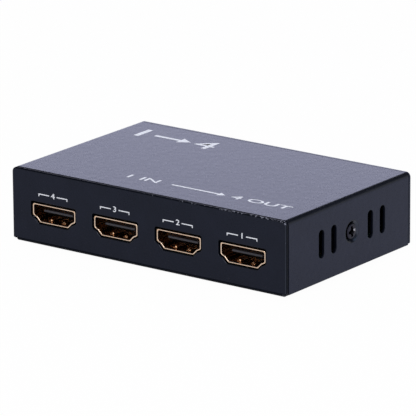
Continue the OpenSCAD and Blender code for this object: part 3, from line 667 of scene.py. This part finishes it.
def drawn(name, outline):
    """An open line through (radius, height) points in millimetres, in the XZ plane."""
    bpy.ops.object.select_all(action="DESELECT")
    bpy.ops.mesh.primitive_plane_add(size=MM, location=(0, 0, 0))
    line = bpy.context.object
    line.name = name
    bpy.ops.object.mode_set(mode="EDIT")
    bpy.ops.mesh.select_mode(type="VERT")
    bpy.ops.mesh.select_all(action="SELECT")
    bpy.ops.mesh.merge(type="CENTER")
    here = Vector((0, 0, 0))
    for i, (radius, height) in enumerate(outline):
        there = Vector((radius * MM, 0, height * MM))
        if i == 0:
            bpy.ops.transform.translate(value=there - here)
        else:
            bpy.ops.mesh.extrude_vertices_move(TRANSFORM_OT_translate={"value": there - here})
        here = there
    bpy.ops.object.mode_set(mode="OBJECT")
    return line


def closed(piece):
    """Merges a piece's doubles and points its faces outwards."""
    only(piece)
    bpy.ops.object.mode_set(mode="EDIT")
    bpy.ops.mesh.select_all(action="SELECT")
    bpy.ops.mesh.remove_doubles(threshold=DOUBLES * MM)
    bpy.ops.mesh.normals_make_consistent(inside=False)
    bpy.ops.object.mode_set(mode="OBJECT")


def turned(name, outline, steps=48):
    """Spins half an outline of (radius, height) points, in millimetres, round Z into a closed solid."""
    piece = drawn(name, outline)
    bpy.ops.object.mode_set(mode="EDIT")
    bpy.ops.mesh.select_all(action="SELECT")
    bpy.ops.mesh.spin(steps=steps, angle=2 * pi, center=(0, 0, 0), axis=(0, 0, 1))
    bpy.ops.object.mode_set(mode="OBJECT")
    closed(piece)
    bpy.ops.object.shade_smooth_by_angle(angle=radians(TURNED_SMOOTH))
    return piece


def arc(centre, radius, first, last, steps=5):
    """Points of an arc in an outline, from one angle to another, in degrees."""
    angles = [radians(first + (last - first) * i / steps) for i in range(steps + 1)]
    return [(centre[0] + radius * cos(a), centre[1] + radius * sin(a)) for a in angles]


print("an arc of a quarter turn has", len(arc((0, 0), 1, 0, 90)), "points")

# %% [markdown]
# ## Rubber feet
#
# Each foot is a stick-on disc with a rounded lower edge and a shallow dish, as a moulded one has. One is
# turned and copied to the four places that the frame gives, and the four become one piece.

# %% Turn the feet
FOOT_R = 4.0
FOOT_EDGE = 0.6
FOOT_CHAMFER = 0.1
DISH = 0.15


def settle(piece, place, turn=(0, 0, 0)):
    """Turns and moves a piece, then puts its place in its mesh."""
    piece.rotation_euler = turn
    piece.location = place
    only(piece)
    bpy.ops.object.transform_apply(location=True, rotation=True, scale=True)


def another(piece):
    """A copy of a piece with its own mesh."""
    copy = piece.copy()
    copy.data = piece.data.copy()
    scene.collection.objects.link(copy)
    return copy


feet_low, feet_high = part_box("rubber_feet")
foot_h = (feet_high.z - feet_low.z) / MM
foot_outline = [(0, DISH), (1.6, DISH), (2.0, 0.02), (2.3, 0)]
foot_outline += arc((FOOT_R - FOOT_EDGE, FOOT_EDGE), FOOT_EDGE, -90, 0)
foot_outline += [(FOOT_R, foot_h - FOOT_CHAMFER), (FOOT_R - FOOT_CHAMFER, foot_h), (0, foot_h)]
foot = turned("foot", foot_outline)
foot.data.materials.append(rubber)
feet = [foot] + [another(foot) for corner in range(3)]
for i, piece in enumerate(feet):
    x = (feet_low.x + FOOT_R * MM, feet_high.x - FOOT_R * MM)[i % 2]
    y = (feet_low.y + FOOT_R * MM, feet_high.y - FOOT_R * MM)[i // 2]
    settle(piece, (x, y, feet_low.z))
only(foot)
for piece in feet:
    piece.select_set(True)
bpy.ops.object.join()
foot.name = "soft_rubber_feet"
dress(foot, ["rubber_feet"], "casing")
print("feet:", len(feet), "each", round(foot_h, 2), "mm high")

# %% [markdown]
# ## Power light
#
# A small lamp lies behind the rear panel with its round tip in a hole. Its lens is one casting with a
# flange at the base, a straight barrel and a domed tip, so one turned outline gives it all.

# %% Turn the lens
FLANGE = 1.0
FLANGE_STEP = 0.4
SOFT = 0.1
light_low, light_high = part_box("power_light")
flange_r = (light_high.x - light_low.x) / 2 / MM
light_l = (light_high.y - light_low.y) / MM
barrel_r = flange_r - FLANGE_STEP
light_outline = [(0, 0), (flange_r - SOFT, 0), (flange_r, SOFT)]
light_outline += [(flange_r, FLANGE - SOFT), (flange_r - SOFT, FLANGE)]
light_outline += [(barrel_r + SOFT, FLANGE), (barrel_r, FLANGE + SOFT)]
light_outline += arc((0, light_l - barrel_r), barrel_r, 0, 90, steps=10)
light = turned("power_light_lens", light_outline)
light.data.materials.append(lens)
light_middle = (light_low + light_high) / 2
settle(light, (light_middle.x, light_low.y, light_middle.z), (-pi / 2, 0, 0))
dress(light, ["power_light"], "casing")
print("lens:", round(light_l, 2), "mm long")

# %% [markdown]
# ## Case screws
#
# A countersunk machine screw holds the cover on each side. Its head and shank are turned in one, with a
# slightly domed face and a chamfer at the tip. It could be joined from cones and cylinders, but an outline
# has the small radii as well.

# %% Turn the screw's blank
THREAD_R = 1.5
PITCH = 0.5
THREAD_DEPTH = 0.54 * PITCH
HEAD_RIM = 0.85
HEAD_ROUND = 0.25
TIP = 0.25
screw_l = (screw_high.x - screw_low.x) / MM
head_r = (screw_high.z - screw_low.z) / 2 / MM
root_r = THREAD_R - THREAD_DEPTH
neck = -HEAD_RIM - (head_r - THREAD_R)

head_outline = [(0, 0), (1.2, -0.02), (1.9, -0.07)]
head_outline += arc((head_r - HEAD_ROUND, -0.36), HEAD_ROUND, 75, 0, steps=4)
head_outline += [(head_r, -HEAD_RIM), (THREAD_R, neck), (root_r, neck - 0.2)]
head_outline += [(root_r, -screw_l + TIP), (root_r - TIP, -screw_l), (0, -screw_l)]
screw = turned("case_screw", head_outline, steps=64)
print("screw blank:", round(screw_l, 2), "mm long, head", round(2 * head_r, 2), "mm")

# %% [markdown]
# The thread is the outline of a tooth, swept by a Screw modifier and trimmed flat by two bisects. A Boolean
# joins it to the blank. A bump could fake it, but a screw that comes out of its hole shows its thread.

# %% Sweep the thread
OVERLAP = 0.02
THREAD_START = 0.3
TRIM_GAP = 0.0001


def combine(piece, tool, operation):
    """Adds a tool's solid to a piece or cuts it out, and deletes the tool."""
    only(piece)
    bpy.ops.object.modifier_add(type="BOOLEAN")
    boolean = piece.modifiers[-1]
    boolean.object = tool
    boolean.operation = operation
    boolean.solver = "EXACT"
    bpy.ops.object.modifier_apply(modifier=boolean.name)
    bpy.data.objects.remove(tool)


flank = (THREAD_R - root_r) * sqrt(1 / 3)
crest = PITCH / 8
inner_r = root_r - OVERLAP
tooth = [(inner_r, 0), (inner_r, PITCH - crest - 2 * flank), (THREAD_R, PITCH - crest - flank)]
tooth += [(THREAD_R, PITCH - flank), (inner_r, PITCH)]

# The sweep starts and ends outside the trimmed length, so that both cuts close it
thread = drawn("thread", [(r, z - screw_l - PITCH) for r, z in tooth])
bpy.ops.object.modifier_add(type="SCREW")
sweep = thread.modifiers[-1]
sweep.axis = "Z"
sweep.steps = sweep.render_steps = 40
sweep.screw_offset = PITCH * MM
sweep.iterations = int((screw_l + neck) / PITCH) + 2
sweep.use_merge_vertices = True
sweep.merge_threshold = DOUBLES * MM
bpy.ops.object.modifier_apply(modifier=sweep.name)
bpy.ops.object.mode_set(mode="EDIT")
for height, facing in ((-screw_l + THREAD_START, -1), (neck - OVERLAP, 1)):
    bpy.ops.mesh.select_all(action="SELECT")
    bpy.ops.mesh.bisect(
        plane_co=(0, 0, height * MM), plane_no=(0, 0, facing),
        use_fill=True, clear_outer=True, threshold=TRIM_GAP * MM)
bpy.ops.object.mode_set(mode="OBJECT")
closed(thread)
print("thread:", len(thread.data.polygons), "faces, tooth", round(flank * 2 + crest, 3), "mm wide")
combine(screw, thread, "UNION")

# %% [markdown]
# Each arm pair of the cross is a cone of four sides, so it tapers towards the bottom of the recess as the
# driver's tip does. Plain boxes would cut it with straight walls. The middle of a cone is on the head's
# top, where it has the full length and width. A third, square cone clips the corners between the arms.

# %% Cut the cross
CROSS_L = 3.1
CROSS_W = 0.85
CROSS_DEPTH = 1.25
CROSS_TURN = radians(5)
CROSS_TAPER = 0.45
CROSS_MIDDLE = 1.9
arms = (CROSS_L, CROSS_W)
corners = (CROSS_MIDDLE, CROSS_MIDDLE)
for (length, width), turn in ((arms, 0), (arms, 90), (corners, 45)):
    bpy.ops.object.select_all(action="DESELECT")
    bpy.ops.mesh.primitive_cone_add(
        vertices=4, radius1=CROSS_TAPER * sqrt(0.5), radius2=(2 - CROSS_TAPER) * sqrt(0.5),
        depth=2, rotation=(0, 0, pi / 4))
    cutter = bpy.context.object
    bpy.ops.object.transform_apply(location=True, rotation=True, scale=True)
    cutter.scale = (length * MM, width * MM, CROSS_DEPTH * MM)
    bpy.ops.object.transform_apply(location=True, rotation=True, scale=True)
    settle(cutter, (0, 0, 0), (0, 0, CROSS_TURN + radians(turn)))
    combine(screw, cutter, "DIFFERENCE")
print("cross:", CROSS_L, "mm across and", CROSS_DEPTH, "mm deep")

# %% [markdown]
# The face of the head is greyer than the rest, whose darker zinc paints the shade on the rim and in the
# cross. A pale strip at the upper end of one arm paints a glint, so a bisect parts that strip of the wall
# from the black one below.

# %% Finish the head
GLINT_DEPTH = 0.45
DOME = 0.3
THREAD_SMOOTH = 35
only(screw)
bpy.ops.object.mode_set(mode="EDIT")
bpy.ops.mesh.select_all(action="SELECT")
bpy.ops.mesh.bisect(plane_co=(0, 0, -GLINT_DEPTH * MM), plane_no=(0, 0, 1))
bpy.ops.mesh.select_all(action="SELECT")
bpy.ops.mesh.remove_doubles(threshold=DOUBLES * MM)
bpy.ops.mesh.dissolve_degenerate(threshold=DOUBLES * MM)
bpy.ops.object.mode_set(mode="OBJECT")
bpy.ops.object.shade_smooth_by_angle(angle=radians(THREAD_SMOOTH))
screw.data.materials.clear()
for finish in (shaded_zinc, face_zinc, zinc_painted_glint):
    screw.data.materials.append(finish)


def screw_finish(face):
    """The screw's tone on the face of the head, and a painted glint on the wall at the upper end of one arm.
    """
    on_head = face.center.z > -DOME * MM and face.normal.z > 0.7
    in_arm = CROSS_MIDDLE / 2 * MM < face.center.y < 0.8 * head_r * MM
    # The pale strip at the top of one arm's wall paints a glint
    on_strip = face.center.z > -GLINT_DEPTH * MM and face.normal.y < -0.3
    if on_head:
        return face_zinc
    return zinc_painted_glint if in_arm and on_strip else None


finish_faces(screw, screw_finish)
print("threaded screw with its cross:", len(screw.data.polygons), "faces")

# %% [markdown]
# The screw was cut at the origin with its head up. Each side gets its own copy, turned to face outwards. The
# two could share a mesh, but a piece of the frame has its place in its own mesh.

# %% Drive the screws
screw_middle = (screw_low + screw_high) / 2
for piece, side, name in ((screw, 1, "right"), (another(screw), -1, "left")):
    settle(piece, (side * screw_high.x, screw_middle.y, screw_middle.z), (0, side * pi / 2, 0))
    piece.name = "threaded_screw_" + name
    dress(piece, ["case_screw_" + name], name + "_screw")
print("screws at y, z in mm:", round(screw_middle.y / MM, 2), round(screw_middle.z / MM, 2))

# %% [markdown]
# ## Printed legends
#
# White ink is screen-printed on the coat. The sockets are numbered between short brackets, and the cover
# carries a sign and a line with an arrow. Ink is a real layer, so text and bars are meshes a few hundredths
# of a millimetre thick that sit in the coat.

# %% Draw with ink
INK = 0.02
INK_ROOT = 0.02
BAR_CLIP = 0.06
CAPITAL = 0.7


def slab(piece):
    """Gives a flat drawing in the XY plane its layer of ink, partly sunk in the coat."""
    only(piece)
    bpy.ops.object.mode_set(mode="EDIT")
    bpy.ops.mesh.select_all(action="SELECT")
    bpy.ops.mesh.extrude_region_move(TRANSFORM_OT_translate={"value": (0, 0, (INK + INK_ROOT) * MM)})
    bpy.ops.mesh.select_all(action="SELECT")
    bpy.ops.mesh.normals_make_consistent(inside=False)
    bpy.ops.object.mode_set(mode="OBJECT")
    return piece


def bar(x_low, x_high, y_low, y_high):
    """A printed bar in millimetres, with clipped corners."""
    bpy.ops.object.select_all(action="DESELECT")
    bpy.ops.mesh.primitive_plane_add(size=1)
    piece = bpy.context.object
    piece.scale = ((x_high - x_low) * MM, (y_high - y_low) * MM, 1)
    settle(piece, ((x_low + x_high) / 2 * MM, (y_low + y_high) / 2 * MM, -INK_ROOT * MM))
    bpy.ops.object.mode_set(mode="EDIT")
    bpy.ops.mesh.select_all(action="SELECT")
    bpy.ops.mesh.bevel(offset=BAR_CLIP * MM, segments=2, affect="VERTICES")
    bpy.ops.object.mode_set(mode="OBJECT")
    return slab(piece)


def words(text, x, y, height, stretch=1.0, boldness=0.0):
    """Printed words centred on a point, that many millimetres high. Boldness widens the strokes."""
    bpy.ops.object.select_all(action="DESELECT")
    bpy.ops.object.text_add()
    piece = bpy.context.object
    piece.data.body = text
    piece.data.align_x = "CENTER"
    piece.data.align_y = "CENTER"
    piece.data.size = height / CAPITAL * MM
    piece.data.extrude = (INK + INK_ROOT) / 2 * MM
    piece.data.offset = boldness * MM
    bpy.ops.object.convert(target="MESH")
    piece = bpy.context.object
    piece.scale = (stretch, 1, 1)
    settle(piece, (x * MM, y * MM, (INK - INK_ROOT) / 2 * MM))
    return piece


def print_on(name, parts, place, turn=(0, 0, 0)):
    """Joins drawn parts into one print and lays it on its face."""
    piece = parts[0]
    only(piece)
    for part in parts:
        part.select_set(True)
    bpy.ops.object.join()
    piece.name = name
    settle(piece, place, turn)
    piece.data.materials.clear()
    piece.data.materials.append(ink)
    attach(piece, "casing")


print("ink:", INK + INK_ROOT, "mm thick,", INK, "mm above the coat")

# %% [markdown]
# The numbers stand over their sockets, which are numbered from the right. Each is drawn flat at the origin
# and then turned up against the panel, so that its sizes read as they would on paper.

# %% Print the socket numbers
LEGEND_RISE = 14.75
NUMBER_H = 1.5
NUMBER_ROOM = 1.3
LINE = 0.28
BRACKET = 5.0
TICK = 0.65
for port in PORTS[:4]:
    parts = [words(port[-1], 0, 0, NUMBER_H, stretch=1.3, boldness=0.02)]
    for side in (-1, 1):
        parts.append(bar(*sorted((side * NUMBER_ROOM, side * BRACKET)), -LINE / 2, LINE / 2))
        parts.append(bar(*sorted((side * (BRACKET - LINE), side * BRACKET)), -TICK, -LINE / 2))
    shell_low, shell_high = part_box(port + "_shell")
    middle = (shell_low.x + shell_high.x) / 2
    print_on("legend_" + port, parts, (middle, case_low.y, case_low.z + LEGEND_RISE * MM), (pi / 2, 0, 0))
print("numbers stand", LEGEND_RISE, "mm above the tray's underside")

# %% [markdown]
# The cover says in large signs what the box does, one line in and four out, and once more in a plain line.

# %% Print the cover
SIGN_Y = 18.5
SIGN_H = 7
SIGN_BAR = 1.2
LINE_Y = -18
WORD_H = 2.7
WORD_BAR = 0.7


def arrow_head(x, y, radius):
    """A printed triangle that points along +X, with its middle at a place in millimetres."""
    bpy.ops.object.select_all(action="DESELECT")
    bpy.ops.mesh.primitive_circle_add(
        vertices=3, radius=radius * MM, fill_type="NGON", rotation=(0, 0, -pi / 2))
    piece = bpy.context.object
    settle(piece, (x * MM, y * MM, -INK_ROOT * MM), piece.rotation_euler)
    return slab(piece)


cover_top = (0, 0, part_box("top_cover")[1].z)
sign = [words("1", -37.5, SIGN_Y, SIGN_H, stretch=1.4, boldness=0.1)]
sign.append(words("4", -15.5, SIGN_Y, SIGN_H, stretch=1.4, boldness=0.03))
sign.append(bar(-33, -24.2, SIGN_Y - SIGN_BAR / 2, SIGN_Y + SIGN_BAR / 2))
sign.append(arrow_head(-23, SIGN_Y, 2.4))
print_on("legend_sign", sign, cover_top)

line_parts = [words("1 IN", -9.5, LINE_Y, WORD_H, stretch=1.7, boldness=0.05)]
line_parts.append(bar(0.5, 16, LINE_Y - WORD_BAR / 2, LINE_Y + WORD_BAR / 2))
line_parts.append(arrow_head(16.8, LINE_Y, 1.5))
line_parts.append(words("4 OUT", 30, LINE_Y, WORD_H, stretch=1.7, boldness=0.05))
print_on("legend_line", line_parts, cover_top)
print("prints on the cover at height", round(cover_top[2] / MM, 2), "mm")

# %% [markdown]
# ## Finishes on the pieces that keep their shape
#
# What lies on the board keeps the frame's own shape and only needs its finish. Each piece could be named,
# but a table of finishes and name endings is shorter and covers them all.

# %% Finish the inner pieces
FINISHES = {
    contact_gold: ("_contacts",),
    tin: ("_leads", "board_screws", "jack_middle_pin", "jack_spring_contact", "clock_crystal"),
    brass: ("board_standoffs",),
    laminate: ("circuit_board",),
    aluminium: ("capacitor_cans",),
    epoxy: ("_chip", "voltage_regulators", "power_inductor", "chip_resistors"),
    resin: ("capacitor_bases",),
    ceramic: ("chip_capacitors",),
    silicone: ("thermal_pad",),
}
shown = {name: obj for name, obj in frame["nodes"].items() if not obj.hide_render}
finished = []
for name, obj in shown.items():
    for finish, endings in FINISHES.items():
        if name.endswith(endings):
            obj.data.materials.clear()
            obj.data.materials.append(finish)
            finished.append(name)
print("inner pieces finished:", len(finished), "of", len(shown))
